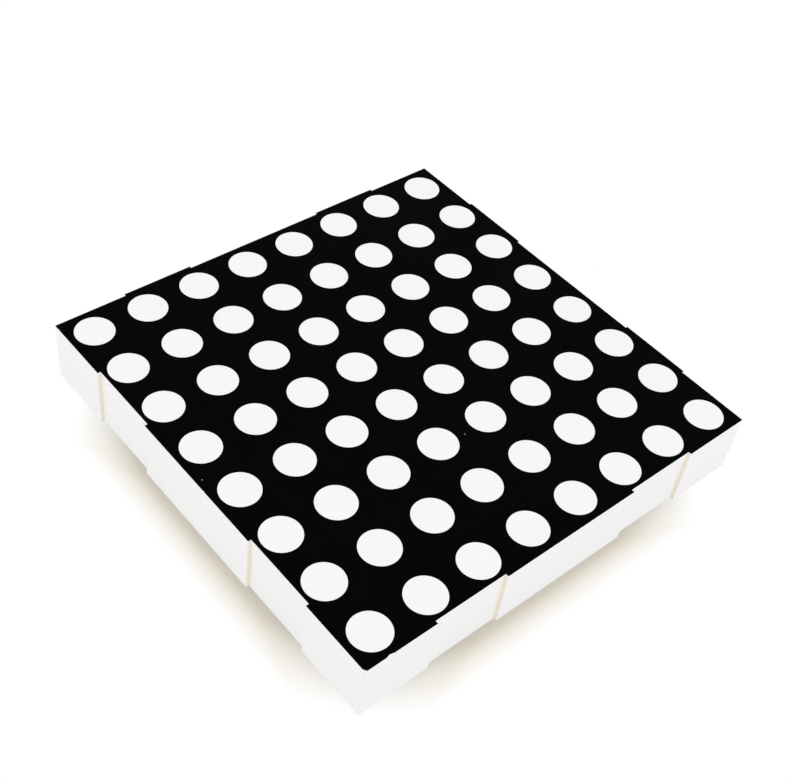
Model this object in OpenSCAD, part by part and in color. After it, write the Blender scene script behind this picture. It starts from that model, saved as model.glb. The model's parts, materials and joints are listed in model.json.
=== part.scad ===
// LED dot matrix module, square, with one round dot per crossing of its rows and columns.
// A white moulded reflector holds a tapered light cup for each dot. Its face is printed black,
// the cups are filled with milky resin, and the chips sit on a board that is sealed from behind.
//
// Frame: origin at the centre of the pin grid, on the seating plane. +Z points out of the face,
// +X along the rows of dots and +Y along the columns.

/* [Dot grid] */
// Dots along each side
dots = 8; // [4:2:8]
// Distance between neighbouring dots
pitch = 7.62; // [7:0.02:9]
// Gap left to the next module when modules are tiled at the dot pitch
tile_gap = 0.76; // [0.4:0.02:1]
// Diameter of a dot at the face
dot_d = 5; // [4:0.1:5.4]

/* [Body] */
// Height from the seating plane to the printed face
body_h = 8.5; // [7.5:0.1:12]
// Thickness of the black print
print_t = 0.05; // [0.02:0.01:0.1]
// Thickness of the side walls
side_wall = 1.2; // [1:0.1:1.4]
// Thickness of the face plate between the cups
face_t = 1.2; // [0.8:0.1:2]

/* [Tiling tabs] */
// Width of each tab on the +X and +Y sides
tab_w = 9.8; // [6:0.1:10]
// How far a tab stands out of its side
tab_proud = 0.3; // [0.1:0.05:0.35]
// Play between a tab and the recess that takes it, in width
tab_play = 0.4; // [0.2:0.1:0.8]
// Depth of each recess in the -X and -Y sides
recess_depth = 0.4; // [0.2:0.05:0.6]

/* [Light cups] */
// Diameter of a cup at the board
cup_base_d = 3.6; // [3.2:0.1:4]
// Wall of a cup
cup_wall = 0.8; // [0.6:0.05:0.9]
// Thickness of the webs that join the cups
web_t = 1; // [0.6:0.1:1.4]

/* [Circuit board] */
// Thickness of the board
board_t = 1.6; // [1:0.1:2]
// Gap between the board's edge and the side walls
board_gap = 0.15; // [0.1:0.05:0.4]
// Thickness of the copper on both faces
copper_t = 0.035; // [0.018:0.001:0.07]
// Width of the tracks
track_w = 0.4; // [0.25:0.05:0.5]
// Diameter of the plated holes that the pins go through
hole_d = 0.8; // [0.7:0.05:0.9]
// Diameter of the copper ring round each pin
ring_d = 1.3; // [1.2:0.05:1.5]
// Diameter of the vias
via_d = 0.4; // [0.3:0.05:0.5]
// Diameter of the copper ring round each via
via_ring_d = 0.7; // [0.6:0.05:0.8]
// Distance between the lanes that carry columns past the pins
lane = 1.2; // [1.1:0.05:1.3]

/* [Back sealing] */
// Thickness of the resin over the back of the board
sealing_t = 0.85; // [0.7:0.05:1]
// How far the rim of the body stands out past the resin
rim_proud = 0.5; // [0.3:0.1:0.8]
// Gap between the resin and the copper under it
sealing_gap = 0.02; // [0.01:0.01:0.05]

/* [Pins] */
// Diameter of the pins
pin_d = 0.5; // [0.4:0.05:0.6]
// Distance between neighbouring pins of a row
pin_pitch = 2.54; // [2.4:0.02:2.7]
// Length of the pins below the seating plane
pin_len = 3.5; // [2.5:0.1:5]
// Length of a pin past the copper on the chip side
pin_head = 0.5; // [0.4:0.05:0.7]
// Chamfer at the tip of a pin
pin_tip = 0.12; // [0.05:0.01:0.15]
// Width of the square shank that holds a pin in the module
shank_w = 0.34; // [0.28:0.02:0.38]
// Height above the seating plane at which a pin turns from square to round
round_top = 0.2; // [0.1:0.05:0.3]
// Height of the solder cones along a pin
solder_h = 0.42; // [0.3:0.02:0.5]
// Thickness of the solder at the thin end of its cones
solder_t = 0.08; // [0.05:0.01:0.1]
// Gap between the solder and the relief in the webs over it
relief_gap = 0.2; // [0.1:0.05:0.3]

/* [LED chips] */
// Width of a chip
chip_w = 0.3; // [0.2:0.02:0.4]
// Height of a chip
chip_h = 0.2; // [0.1:0.02:0.3]
// Diameter of the copper land under a chip
land_d = 0.9; // [0.7:0.05:1]
// Diameter of a bond wire
wire_d = 0.03; // [0.02:0.005:0.05]
// Distance from a chip to the foot of its bond wire
wire_reach = 1; // [0.9:0.05:1.1]
// Width of the copper strip between a wire's foot and its via
strip_w = 0.6; // [0.5:0.05:0.7]
// Distance between a via and its dot, along X and along Y
via_offset = 1.27; // [1.1:0.01:1.4]

/* [Hidden] */
$fn = 64;
cut = 0.01; // how far a cutting tool runs past the face that it opens
edge_dot = (dots - 1) / 2;
body_w = dots * pitch - tile_gap;
tab_centre = dots / 4 * pitch;
recess_w = tab_w + tab_play;
inner_w = body_w - 2 * side_wall;
board_w = inner_w - 2 * board_gap;
pin_row_y = (edge_dot - 0.5) * pitch;
relief_w = ring_d + 2 * relief_gap;
relief_l = (dots - 1) * pin_pitch + relief_w;

// Levels above the seating plane, from the back to the face
copper_back_z = rim_proud + sealing_t + sealing_gap;
board_z = copper_back_z + copper_t;
board_top = board_z + board_t;
cup_z = board_top + copper_t;
core_top = body_h - print_t - face_t;
face_z = body_h - print_t;

// Places along a row: of a dot, of its pin, and of the rail that joins a column's wires
function dot_at(i) = (i - edge_dot) * pitch;
function pin_at(i) = (i - edge_dot) * pin_pitch;
function inward(i) = i < edge_dot ? 1 : -1;
function via_at(i) = dot_at(i) + inward(i) * via_offset;

// The pin that serves row j. The first row's trunk runs up the middle, past the near pins.
middle_pin = dots / 2 - 1;
function pin_of_row(j) = j == 0 ? middle_pin : (j <= middle_pin ? j - 1 : j);
function trunk_x(j) = j == 0 ? 0 : pin_at(pin_of_row(j));

// Steps from the middle of the board out to column i, and the lane that its branch takes
function steps_out(i) = abs(i - edge_dot) - 0.5;
function lane_of(i) =
    let (k = steps_out(i))
    k == middle_pin ? 0 : (k % 2 == 1 ? -1 : 1) * ceil(k / 2) * lane;
function branch_y(i) = lane_of(i) - pin_row_y;

// ---------- Placing ----------

module at_each_dot() {
    for (i = [0 : dots - 1], j = [0 : dots - 1]) translate([dot_at(i), dot_at(j), 0]) children();
}

module at_each_side_pair() {
    for (s = [-1, 1]) translate([0, s * tab_centre]) children();
}

module at_each_pin() {
    for (i = [0 : dots - 1], s = [-1, 1]) translate([pin_at(i), s * pin_row_y, 0]) children();
}

// Every via: one per dot, one per row, and one per column whose branch changes face
module at_each_via() {
    for (i = [0 : dots - 1], j = [0 : dots - 1]) translate([via_at(i), via_at(j)]) children();
    for (j = [0 : dots - 1]) translate([trunk_x(j), dot_at(j)]) children();
    for (i = [0 : dots - 1]) if (steps_out(i) > 0) translate([via_at(i), branch_y(i)]) children();
}

// ---------- Body ----------

// What is drawn for the X sides, and again for the Y sides
module on_x_and_y() {
    children();
    mirror([1, -1]) children();
}

// Outline of the body: recesses in the -X and -Y sides, tabs on the +X and +Y sides
module body_outline() {
    tab_reach = body_w / 2 + tab_proud;
    recess_floor = body_w / 2 - recess_depth;
    difference() {
        union() {
            square(body_w, center = true);
            on_x_and_y() at_each_side_pair() translate([0, -tab_w / 2]) square([tab_reach, tab_w]);
        }
        on_x_and_y() at_each_side_pair()
            translate([-recess_floor - body_w, -recess_w / 2]) square([body_w, recess_w]);
    }
}

// The tapered hole of one light cup, wide at the face
module cup_hole(past) {
    cylinder(h = face_z - cup_z, d1 = cup_base_d, d2 = dot_d);
    translate([0, 0, face_z - cup_z]) cylinder(h = past, d = dot_d);
}

// The outside of one cup, parallel to its hole
module cup_outside() {
    cylinder(h = face_z - cup_z, d1 = cup_base_d + 2 * cup_wall, d2 = dot_d + 2 * cup_wall);
}

module webs() {
    for (i = [0 : dots - 1]) {
        translate([dot_at(i), 0]) square([web_t, body_w], center = true);
        translate([0, dot_at(i)]) square([body_w, web_t], center = true);
    }
}

// Coring behind the face plate, which leaves the cups and the webs between them
module coring() {
    difference() {
        translate([0, 0, cup_z - cut]) linear_extrude(core_top - cup_z + cut) difference() {
            square(inner_w, center = true);
            webs();
        }
        translate([0, 0, cup_z]) at_each_dot() cup_outside();
    }
}

module housing() {
    color("whitesmoke") difference() {
        linear_extrude(face_z) body_outline();
        translate([0, 0, -cut]) linear_extrude(cup_z + cut) square(inner_w, center = true);
        coring();
        translate([0, 0, cup_z]) at_each_dot() cup_hole(cut);
        for (s = [-1, 1]) translate([0, s * pin_row_y, cup_z - cut])
            linear_extrude(pin_head + relief_gap + cut) square([relief_l, relief_w], center = true);
    }
}

module face_print() {
    color("black") translate([0, 0, face_z]) linear_extrude(print_t) difference() {
        body_outline();
        at_each_dot() circle(d = dot_d);
    }
}

// ---------- Chips, wires and resin ----------

module chip() {
    translate([-chip_w / 2, -chip_w / 2, 0]) cube([chip_w, chip_w, chip_h]);
}

// Wire that loops from the top of a chip down to its foot on the strip, along +X
module bond_wire() {
    translate([wire_reach / 2, 0, chip_h]) rotate([90, 0, 0])
        rotate_extrude(angle = 180, $fn = 32) translate([wire_reach / 2, 0]) circle(d = wire_d, $fn = 16);
    translate([wire_reach, 0, 0]) cylinder(h = chip_h, d = wire_d, $fn = 16);
}

// Turns what lies along +X towards the middle of the board, for the dot in column i and row j
module turned_inward(i, j) {
    rotate([0, 0, atan2(inward(j), inward(i))]) children();
}

module chip_row(n) {
    color("khaki") for (i = [0 : dots - 1]) translate([dot_at(i), dot_at(n - 1), cup_z]) chip();
}

module bond_wire_row(n) {
    color("gold") for (i = [0 : dots - 1]) translate([dot_at(i), dot_at(n - 1), cup_z])
        turned_inward(i, n - 1) bond_wire();
}

module diffuser_resin() {
    color("white") for (i = [0 : dots - 1], j = [0 : dots - 1]) translate([dot_at(i), dot_at(j), cup_z])
        difference() {
            cup_hole(print_t);
            chip();
            turned_inward(i, j) bond_wire();
        }
}

// ---------- Circuit board ----------

// Track between two points, with round ends
module track(from, to) {
    run = to - from;
    translate(from) rotate(atan2(run.y, run.x)) {
        translate([0, -track_w / 2]) square([norm(run), track_w]);
        circle(d = track_w);
        translate([norm(run), 0]) circle(d = track_w);
    }
}

module pin_rings() {
    at_each_pin() circle(d = ring_d);
}

module pin_holes() {
    at_each_pin() circle(d = hole_d);
}

// Strip from the foot of a dot's wire to its via
module wire_strip() {
    via_reach = via_offset * sqrt(2);
    translate([wire_reach, -strip_w / 2]) square([via_reach - wire_reach, strip_w]);
    translate([wire_reach, 0]) circle(d = strip_w);
    translate([via_reach, 0]) circle(d = via_ring_d);
}

module circuit_board() {
    color("darkgreen") translate([0, 0, board_z]) linear_extrude(board_t) difference() {
        square(board_w, center = true);
        pin_holes();
        at_each_via() circle(d = via_d);
    }
}

// Branch from the rail of column i along its lane, and then to its pin
module column_branch(i) {
    track([via_at(i), branch_y(i)], [pin_at(i), branch_y(i)]);
    if (lane_of(i) != 0) track([pin_at(i), branch_y(i)], [pin_at(i), -pin_row_y]);
}

// Rows: a rail under each row's chips. Columns: strips for the wires, and the branches to the pins.
module chip_side_copper() {
    color("goldenrod") translate([0, 0, board_top]) linear_extrude(copper_t) difference() {
        union() {
            for (j = [0 : dots - 1]) track([dot_at(0), dot_at(j)], [dot_at(dots - 1), dot_at(j)]);
            for (i = [0 : dots - 1], j = [0 : dots - 1]) translate([dot_at(i), dot_at(j)]) {
                circle(d = land_d);
                turned_inward(i, j) wire_strip();
            }
            for (i = [0 : dots - 1]) if (steps_out(i) > 0) column_branch(i);
            at_each_via() circle(d = via_ring_d);
            pin_rings();
        }
        pin_holes();
    }
}

// Columns: a rail behind each column. Rows: a trunk from each row's via to its pin.
module back_copper() {
    jog = pin_pitch / 2;
    color("limegreen") translate([0, 0, copper_back_z]) linear_extrude(copper_t) difference() {
        union() {
            for (i = [0 : dots - 1]) track([via_at(i), via_at(0)], [via_at(i), via_at(dots - 1)]);
            for (i = [0 : dots - 1]) if (steps_out(i) == 0)
                track([via_at(i), -pin_row_y], [pin_at(i), -pin_row_y]);
            for (j = [1 : dots - 1]) track([trunk_x(j), dot_at(j)], [trunk_x(j), pin_row_y]);
            track([0, dot_at(0)], [0, pin_row_y - jog]);
            track([0, pin_row_y - jog], [pin_at(middle_pin), pin_row_y]);
            at_each_via() circle(d = via_ring_d);
            pin_rings();
        }
        pin_holes();
    }
}

module vias() {
    color("orange") translate([0, 0, board_z]) linear_extrude(board_t) at_each_via() circle(d = via_d);
}

// ---------- Pins, solder and sealing ----------

// Place of pin n, counted round the module from the -X end of the -Y row
function pin_place(n) = n <= dots
    ? [pin_at(n - 1), -pin_row_y, 0]
    : [pin_at(2 * dots - n), pin_row_y, 0];

module shank(length) {
    linear_extrude(length) square(shank_w, center = true);
}

module pin(n) {
    color("silver") translate(pin_place(n)) {
        translate([0, 0, round_top]) shank(cup_z + pin_head - round_top);
        translate([0, 0, pin_tip - pin_len]) cylinder(h = pin_len - pin_tip + round_top, d = pin_d);
        translate([0, 0, -pin_len]) cylinder(h = pin_tip, d1 = pin_d - 2 * pin_tip, d2 = pin_d);
    }
}

// Solder in and on both sides of a plated hole, as it would fill it with no pin
module solder_form() {
    tip_d = pin_d + 2 * solder_t;
    translate([0, 0, copper_back_z - solder_h]) cylinder(h = solder_h, d1 = tip_d, d2 = ring_d);
    translate([0, 0, copper_back_z]) cylinder(h = cup_z - copper_back_z, d = hole_d);
    translate([0, 0, cup_z]) cylinder(h = solder_h, d1 = ring_d, d2 = tip_d);
}

module solder_joints() {
    color("lightgray") at_each_pin() difference() {
        solder_form();
        translate([0, 0, copper_back_z - solder_h - cut])
            shank(cup_z - copper_back_z + 2 * (solder_h + cut));
    }
}

module back_sealing() {
    color("beige") difference() {
        translate([0, 0, rim_proud]) linear_extrude(sealing_t) difference() {
            square(inner_w, center = true);
            at_each_pin() square(shank_w, center = true);
        }
        at_each_pin() solder_form();
    }
}

// ---------- The module ----------

housing();
face_print();
diffuser_resin();
circuit_board();
chip_side_copper();
back_copper();
vias();
solder_joints();
back_sealing();
for (n = [1 : 2 * dots]) pin(n);
for (n = [1 : dots]) chip_row(n);
for (n = [1 : dots]) bond_wire_row(n);
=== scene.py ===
"""Finishes, studio and camera for the LED dot matrix module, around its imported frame."""

import json
import math

import bpy
from mathutils import Matrix, Vector

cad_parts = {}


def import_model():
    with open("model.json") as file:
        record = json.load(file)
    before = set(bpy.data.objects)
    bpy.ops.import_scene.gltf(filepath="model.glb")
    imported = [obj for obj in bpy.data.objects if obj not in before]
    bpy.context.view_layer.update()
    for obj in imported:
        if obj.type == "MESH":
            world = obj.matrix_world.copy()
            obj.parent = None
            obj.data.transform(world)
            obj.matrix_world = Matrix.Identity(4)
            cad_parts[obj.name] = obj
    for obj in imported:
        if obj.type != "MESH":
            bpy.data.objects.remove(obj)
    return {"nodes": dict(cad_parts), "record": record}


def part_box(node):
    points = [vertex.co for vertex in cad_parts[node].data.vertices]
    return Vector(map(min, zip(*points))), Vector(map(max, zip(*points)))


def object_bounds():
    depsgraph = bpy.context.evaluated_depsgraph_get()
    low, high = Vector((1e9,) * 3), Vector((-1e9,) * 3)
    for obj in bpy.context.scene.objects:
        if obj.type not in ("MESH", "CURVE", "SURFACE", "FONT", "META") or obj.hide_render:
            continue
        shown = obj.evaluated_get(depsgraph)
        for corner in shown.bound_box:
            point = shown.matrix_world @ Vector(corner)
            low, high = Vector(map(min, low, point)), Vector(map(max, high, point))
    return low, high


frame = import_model()
cad_low, cad_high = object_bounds()

MM = 0.001
print_low, print_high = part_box("face_print")
FACE_Z = print_high.z

# ---------- Camera, as seen in the photograph ----------

VIEW_AZIMUTH = -46.34
VIEW_ELEVATION = 45.73
VIEW_DISTANCE = 155.9 * MM
VIEW_ROLL = 8.74
AIM = Vector((-2.79 * MM, -2.01 * MM, FACE_Z))
LENS = 58.99
SENSOR = 36

# ---------- Studio ----------

PAPER = (0.9, 0.895, 0.885, 1)
# Cream that the camera sees on the floor beside the module, where it lies in shade: a painted warm tint
# of the shadow.
PAPER_SEEN_SHADE_CREAM = (1, 0.875, 0.66, 1)
FLOOR_RADIUS = 1.5
BACKDROP = (1, 1, 1, 1)
AMBIENT = (1, 0.955, 0.87, 1)
AMBIENT_STRENGTH = 0.9
LAMP_COLOUR = (0.55, 0.71, 1)
LAMP_POWER = 0.59

# How the floor passes into the backdrop, a painted white glow seen only by the camera and in reflections
# that lifts and narrows the shadow: the share of backdrop in it under the module, and the distances past
# the sides of the module and from its middle over which the rest comes in
SHADOW_LIFT_UNDER = 0.24
OPEN_PAST_SIDES = (-1 * MM, 2.5 * MM)
OPEN_FROM_MIDDLE = (32 * MM, 40 * MM)

# ---------- Painted cream shade in the corners of the walls ---

# Painted shade: a cream tint laid into the corners and recesses of the walls, where shade falls.
CORNER_SHADE_CREAM = (0.98, 0.915, 0.74, 1)
CORNER_SHADE_REACH = 0.7 * MM  # from a corner, and the distance below the face over which it comes in

# ---------- Small flaws of the print ----------

NICK_AT = 3.3 * MM  # along the -Y edge, from the near corner
NICK_REACH = 0.5 * MM
NICK_DEPTH = 0.12 * MM
DUST_SPECKS = ((-0.2 * MM, -12.1 * MM, FACE_Z), (-29.3 * MM, -0.3 * MM, FACE_Z))
DUST_RADIUS = 0.1 * MM
DUST_TONE = (0.2, 0.2, 0.19, 1)
BARE_TONE = (0.85, 0.845, 0.83, 1)


# ---------- Building node materials ----------

def add_node(tree, kind, inputs=None, **settings):
    """Adds a shader node. An input given as a socket is linked, and any other value is set."""
    made = tree.nodes.new("ShaderNode" + kind)
    for name, value in settings.items():
        setattr(made, name, value)
    for name, value in (inputs or {}).items():
        if isinstance(value, bpy.types.NodeSocket):
            tree.links.new(value, made.inputs[name])
        else:
            made.inputs[name].default_value = value
    return made


def new_finish(name, **shader_values):
    """Returns a material with its tree, its Principled shader and the part's own coordinates."""
    material = bpy.data.materials.new(name)
    material.use_nodes = True
    tree = material.node_tree
    shader = tree.nodes["Principled BSDF"]
    for socket, value in shader_values.items():
        shader.inputs[socket.replace("_", " ")].default_value = value
    place = add_node(tree, "TexCoord").outputs["Object"]
    return material, tree, shader, place


def noise(tree, place, size, detail=2.0):
    """Soft noise between 0 and 1 whose blobs are about size metres across."""
    inputs = {"Vector": place, "Scale": 1 / size, "Detail": detail}
    return add_node(tree, "TexNoise", inputs).outputs["Fac"]


def waves(tree, place, size, axis):
    """Bands between 0 and 1 across one axis. The texture fits about six bands into size metres."""
    made = add_node(tree, "TexWave", {"Vector": place, "Scale": 1 / size}, bands_direction=axis)
    return made.outputs["Fac"]


def spread(tree, value, low, high, start=0.3, end=0.7):
    """Maps value from start..end to low..high."""
    limits = {"From Min": start, "From Max": end, "To Min": low, "To Max": high}
    return add_node(tree, "MapRange", {"Value": value, **limits}).outputs["Result"]


def compute(tree, operation, first, second):
    made = add_node(tree, "Math", operation=operation)
    for socket, value in zip(made.inputs, (first, second)):
        if isinstance(value, bpy.types.NodeSocket):
            tree.links.new(value, socket)
        else:
            socket.default_value = value
    return made.outputs["Value"]


def blend_colours(tree, factor, first, second):
    """Returns first where factor is 0 and second where it is 1. Each may be a colour or a socket."""
    made = tree.nodes.new("ShaderNodeMix")
    made.data_type = "RGBA"
    tree.links.new(factor, made.inputs[0])
    for socket, value in zip(made.inputs[6:8], (first, second)):
        if isinstance(value, bpy.types.NodeSocket):
            tree.links.new(value, socket)
        else:
            socket.default_value = value
    return made.outputs[2]


def connect(tree, shader, **links):
    for socket, value in links.items():
        tree.links.new(value, shader.inputs[socket.replace("_", " ")])


def bump(tree, height, depth, strength=1.0, under=None):
    """Turns a height between 0 and 1 into a normal, over another normal if one is given."""
    inputs = {"Height": height, "Distance": depth, "Strength": strength}
    if under is not None:
        inputs["Normal"] = under
    return add_node(tree, "Bump", inputs).outputs["Normal"]


def soft_edges(tree, radius):
    return add_node(tree, "Bevel", {"Radius": radius}, samples=4).outputs["Normal"]


# ---------- Finishes ----------

def white_plastic():
    """Moulded white plastic with a fine grain and a satin sheen, with painted cream shade in the corners
    of its walls.
    """
    material, tree, shader, place = new_finish("white_plastic", IOR=1.49)
    clouds = noise(tree, place, 14 * MM)
    open_tone = blend_colours(tree, clouds, (0.885, 0.88, 0.87, 1), (0.905, 0.902, 0.895, 1))
    # Painted shade: occlusion near a corner tints the walls cream, fading out towards the face.
    occlusion = add_node(tree, "AmbientOcclusion", {"Distance": CORNER_SHADE_REACH}, samples=8, only_local=True)
    height = add_node(tree, "SeparateXYZ", {"Vector": place}).outputs["Z"]
    shade_below_face = spread(tree, height, 1, 0, FACE_Z - CORNER_SHADE_REACH, FACE_Z)
    shaded_corner = spread(tree, occlusion.outputs["AO"], 1, 0, 0.5, 0.95)
    tone = blend_colours(tree, compute(tree, "MULTIPLY", shaded_corner, shade_below_face), open_tone, CORNER_SHADE_CREAM)
    gloss = spread(tree, noise(tree, place, 1.5 * MM, 4), 0.42, 0.54)
    grain = noise(tree, place, 0.14 * MM, 3)
    waviness = noise(tree, place, 9 * MM, 1)
    wavy = bump(tree, waviness, 0.05 * MM, under=soft_edges(tree, 0.05 * MM))
    normal = bump(tree, grain, 0.006 * MM, under=wavy)
    connect(tree, shader, Base_Color=tone, Roughness=gloss, Normal=normal)
    return material


def black_print():
    """Screen-printed black ink: matt, with the mark of the mesh, flaws at its edge and specks of dust."""
    material, tree, shader, place = new_finish("black_print", Specular_IOR_Level=0.012)
    axes = add_node(tree, "SeparateXYZ", {"Vector": place}).outputs
    clouds = noise(tree, place, 5 * MM, 4)
    ink = blend_colours(tree, clouds, (0.0007, 0.0007, 0.0007, 1), (0.0016, 0.0016, 0.0016, 1))

    # Where the ink stops short: in specks along its edge, in a nick, and at the near corner
    inside_x = compute(tree, "SUBTRACT", axes["X"], print_low.x)
    inside_y = compute(tree, "SUBTRACT", axes["Y"], print_low.y)
    ragged = noise(tree, place, 0.5 * MM, 3)
    fray = spread(tree, ragged, -0.2 * MM, 0.06 * MM, 0.4, 0.75)
    from_nick = compute(tree, "ABSOLUTE", compute(tree, "SUBTRACT", inside_x, NICK_AT), 0)
    nick = spread(tree, from_nick, NICK_DEPTH, 0, 0, NICK_REACH)
    blunt = spread(tree, ragged, 0.1 * MM, 0.4 * MM)
    short_at_edge = compute(tree, "LESS_THAN", compute(tree, "MINIMUM", inside_x, inside_y), fray)
    short_at_nick = compute(tree, "LESS_THAN", inside_y, nick)
    short_at_corner = compute(tree, "LESS_THAN", compute(tree, "ADD", inside_x, inside_y), blunt)
    bare = compute(tree, "MAXIMUM", short_at_edge, short_at_nick)
    bare = compute(tree, "MAXIMUM", bare, short_at_corner)

    colour = blend_colours(tree, bare, ink, BARE_TONE)
    for speck in DUST_SPECKS:
        away = add_node(tree, "VectorMath", {0: place, 1: speck}, operation="DISTANCE").outputs["Value"]
        dusty = compute(tree, "LESS_THAN", away, DUST_RADIUS)
        colour = blend_colours(tree, dusty, colour, DUST_TONE)
    gloss = spread(tree, noise(tree, place, 0.8 * MM, 4), 0.55, 0.7)
    threads = [waves(tree, place, 0.9 * MM, axis) for axis in "XY"]
    mesh = compute(tree, "MULTIPLY", *threads)
    uneven = compute(tree, "ADD", mesh, noise(tree, place, 0.3 * MM, 3))
    normal = bump(tree, uneven, 0.002 * MM)
    connect(tree, shader, Base_Color=colour, Roughness=gloss, Normal=normal)
    return material


def milky_resin():
    """Cast resin with a white diffuser in it: satin, and gently uneven."""
    material, tree, shader, place = new_finish("milky_resin", IOR=1.53, Specular_IOR_Level=0.2)
    clouds = noise(tree, place, 3 * MM, 3)
    tone = blend_colours(tree, clouds, (0.88, 0.877, 0.865, 1), (0.905, 0.903, 0.895, 1))
    gloss = spread(tree, noise(tree, place, 0.7 * MM, 3), 0.4, 0.52)
    normal = bump(tree, noise(tree, place, 3 * MM, 1), 0.02 * MM)
    connect(tree, shader, Base_Color=tone, Roughness=gloss, Normal=normal)
    return material


def masked_board(name, dark, light):
    """Solder mask over woven glass or over copper."""
    material, tree, shader, place = new_finish(name, Coat_Weight=0.3, Coat_Roughness=0.15)
    tone = blend_colours(tree, noise(tree, place, 2.5 * MM, 4), dark, light)
    weave = compute(tree, "ADD", waves(tree, place, 4 * MM, "X"), waves(tree, place, 4 * MM, "Y"))
    gloss = spread(tree, noise(tree, place, 0.6 * MM, 3), 0.3, 0.42)
    connect(tree, shader, Base_Color=tone, Roughness=gloss, Normal=bump(tree, weave, 0.004 * MM))
    return material


def metal(name, dark, light, smooth, rough, grain, depth):
    """Bare metal whose tone and polish vary over blobs of the given grain."""
    material, tree, shader, place = new_finish(name, Metallic=1.0)
    tone = blend_colours(tree, noise(tree, place, 3 * grain, 4), dark, light)
    gloss = spread(tree, noise(tree, place, grain, 4), smooth, rough)
    normal = bump(tree, noise(tree, place, grain, 3), depth)
    connect(tree, shader, Base_Color=tone, Roughness=gloss, Normal=normal)
    return material


def clear_resin():
    """Clear sealing resin, faintly amber, with a slightly rippled surface."""
    material, tree, shader, place = new_finish("clear_resin", IOR=1.5, Transmission_Weight=0.99)
    clouds = noise(tree, place, 6 * MM, 3)
    tone = blend_colours(tree, clouds, (0.95, 0.91, 0.81, 1), (0.965, 0.94, 0.87, 1))
    gloss = spread(tree, noise(tree, place, 1.2 * MM, 3), 0.05, 0.14)
    ripple = compute(tree, "ADD", noise(tree, place, 5 * MM, 1), noise(tree, place, 0.8 * MM, 2))
    connect(tree, shader, Base_Color=tone, Roughness=gloss, Normal=bump(tree, ripple, 0.05 * MM))
    return material


def led_chip():
    """Sawn semiconductor: dull, with a fine grain."""
    material, tree, shader, place = new_finish("led_chip", IOR=2.4)
    clouds = noise(tree, place, 0.1 * MM, 4)
    tone = blend_colours(tree, clouds, (0.5, 0.42, 0.2, 1), (0.68, 0.6, 0.34, 1))
    gloss = spread(tree, noise(tree, place, 0.05 * MM, 3), 0.3, 0.5)
    connect(tree, shader, Base_Color=tone, Roughness=gloss, Normal=bump(tree, gloss, 0.004 * MM))
    return material


def every_finish():
    """The finishes by the name of their material slot in the record."""
    return {
        "white_plastic": white_plastic(),
        "black_print": black_print(),
        "milky_resin": milky_resin(),
        "green_board": masked_board("green_board", (0.02, 0.15, 0.045, 1), (0.035, 0.2, 0.07, 1)),
        "masked_copper": masked_board("masked_copper", (0.1, 0.36, 0.1, 1), (0.14, 0.43, 0.14, 1)),
        "plated_copper": metal(
            "plated_copper", (0.78, 0.56, 0.24, 1), (0.88, 0.68, 0.36, 1),
            smooth=0.22, rough=0.36, grain=0.3 * MM, depth=0.004 * MM),
        "via_copper": metal(
            "via_copper", (0.72, 0.42, 0.26, 1), (0.84, 0.55, 0.36, 1),
            smooth=0.25, rough=0.4, grain=0.2 * MM, depth=0.004 * MM),
        "solder": metal(
            "solder", (0.78, 0.78, 0.78, 1), (0.9, 0.9, 0.91, 1),
            smooth=0.25, rough=0.42, grain=0.25 * MM, depth=0.004 * MM),
        "tinned_pin": metal(
            "tinned_pin", (0.74, 0.74, 0.73, 1), (0.84, 0.84, 0.83, 1),
            smooth=0.24, rough=0.36, grain=0.2 * MM, depth=0.002 * MM),
        "gold_wire": metal(
            "gold_wire", (0.9, 0.66, 0.26, 1), (0.96, 0.76, 0.36, 1),
            smooth=0.18, rough=0.3, grain=0.03 * MM, depth=0.001 * MM),
        "clear_resin": clear_resin(),
        "led_chip": led_chip(),
    }


def dress_nodes():
    """Gives each piece of the frame the finish of its material slot."""
    finishes = every_finish()
    for subpart in frame["record"]["subparts"]:
        piece = frame["nodes"][subpart["node"]]
        for slot in piece.material_slots:
            slot.material = finishes[subpart["material_slot"]]


# ---------- Floor, light and camera ----------

def floor():
    """A plain pale disc under the tips of the pins. As seen, its shadow is painted cream and lifted by a
    white glow.
    """
    bpy.ops.mesh.primitive_circle_add(vertices=96, radius=FLOOR_RADIUS, fill_type="NGON")
    disc = bpy.context.object
    disc.name = "floor"
    disc.location.z = cad_low.z
    material, tree, shader, place = new_finish("floor_paper", Roughness=0.9, Specular_IOR_Level=0.1)
    path = add_node(tree, "LightPath").outputs
    connect(tree, shader, Base_Color=blend_colours(tree, path["Is Camera Ray"], PAPER, PAPER_SEEN_SHADE_CREAM))
    seen = compute(tree, "MAXIMUM", path["Is Camera Ray"], path["Is Glossy Ray"])
    seen = compute(tree, "MAXIMUM", seen, path["Is Transmission Ray"])
    from_middle = add_node(tree, "VectorMath", {0: place}, operation="LENGTH").outputs["Value"]
    axes = add_node(tree, "SeparateXYZ", {"Vector": place}).outputs
    out_x = compute(tree, "ABSOLUTE", axes["X"], 0)
    out_y = compute(tree, "ABSOLUTE", axes["Y"], 0)
    past_sides = compute(tree, "SUBTRACT", compute(tree, "MAXIMUM", out_x, out_y), cad_high.x)
    open_round = spread(tree, from_middle, 0, 1, *OPEN_FROM_MIDDLE)
    open_beside = spread(tree, past_sides, 0, 1, *OPEN_PAST_SIDES)
    # Painted light: the camera sees a white backdrop glow over the floor, a share of it even under the
    # module, lifting the shadow there.
    glow_over_shadow = spread(tree, compute(tree, "MAXIMUM", open_round, open_beside), SHADOW_LIFT_UNDER, 1, 0, 1)
    white = add_node(tree, "Emission", {"Color": BACKDROP}).outputs[0]
    factor = compute(tree, "MULTIPLY", seen, glow_over_shadow)
    mixed = add_node(tree, "MixShader", {0: factor, 1: shader.outputs[0], 2: white}).outputs[0]
    tree.links.new(mixed, tree.nodes["Material Output"].inputs["Surface"])
    disc.data.materials.append(material)


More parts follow.
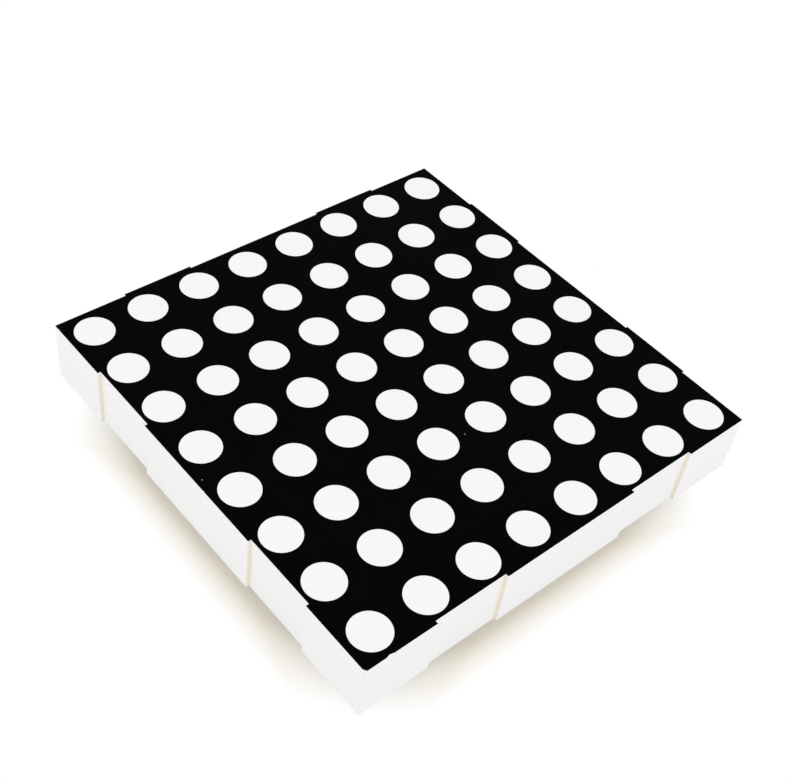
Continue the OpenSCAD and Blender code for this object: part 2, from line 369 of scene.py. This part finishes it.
def world():
    """Even light from all round. The camera and reflections see it paler than the light that it gives."""
    made = bpy.data.worlds.new("studio")
    made.use_nodes = True
    bpy.context.scene.world = made
    tree = made.node_tree
    backdrop = tree.nodes["Background"]
    backdrop.inputs["Color"].default_value = BACKDROP
    light = add_node(tree, "Background", {"Color": AMBIENT, "Strength": AMBIENT_STRENGTH}).outputs[0]
    path = add_node(tree, "LightPath").outputs
    seen = compute(tree, "MAXIMUM", path["Is Camera Ray"], path["Is Glossy Ray"])
    seen = compute(tree, "MAXIMUM", seen, path["Is Transmission Ray"])
    mix = add_node(tree, "MixShader", {0: seen, 1: light, 2: backdrop.outputs[0]}).outputs[0]
    tree.links.new(mix, tree.nodes["World Output"].inputs["Surface"])


def lamp(name, azimuth, elevation, distance, size, power):
    """A square soft light that looks at the part. Azimuth and elevation are as for the camera."""
    data = bpy.data.lights.new(name, "AREA")
    data.shape = "SQUARE"
    data.size = size
    data.energy = power
    data.color = LAMP_COLOUR
    made = bpy.data.objects.new(name, data)
    aim = Vector((0, 0, FACE_Z / 2))
    back = direction_to(azimuth, elevation)
    made.location = aim + back * distance
    made.rotation_mode = "QUATERNION"
    made.rotation_quaternion = back.to_track_quat("Z", "Y")
    bpy.context.scene.collection.objects.link(made)


def direction_to(azimuth, elevation):
    """Unit vector from the part towards a place round it. Azimuth 0 is on the -Y side."""
    a, e = math.radians(azimuth), math.radians(elevation)
    return Vector((math.sin(a) * math.cos(e), -math.cos(a) * math.cos(e), math.sin(e)))


def camera():
    data = bpy.data.cameras.new("camera")
    data.lens = LENS
    data.sensor_width = SENSOR
    data.clip_start = 10 * MM
    data.clip_end = 10
    made = bpy.data.objects.new("camera", data)
    back = direction_to(VIEW_AZIMUTH, VIEW_ELEVATION)
    made.location = AIM + back * VIEW_DISTANCE
    level = back.to_track_quat("Z", "Y").to_matrix()
    made.rotation_mode = "QUATERNION"
    made.rotation_quaternion = (level @ Matrix.Rotation(math.radians(VIEW_ROLL), 3, "Z")).to_quaternion()
    bpy.context.scene.collection.objects.link(made)
    bpy.context.scene.camera = made


dress_nodes()
floor()
world()
lamp("left", azimuth=-115, elevation=38, distance=0.5, size=0.35, power=LAMP_POWER)
lamp("right", azimuth=25, elevation=38, distance=0.5, size=0.35, power=LAMP_POWER)
camera()
bpy.context.scene.view_settings.view_transform = "Standard"
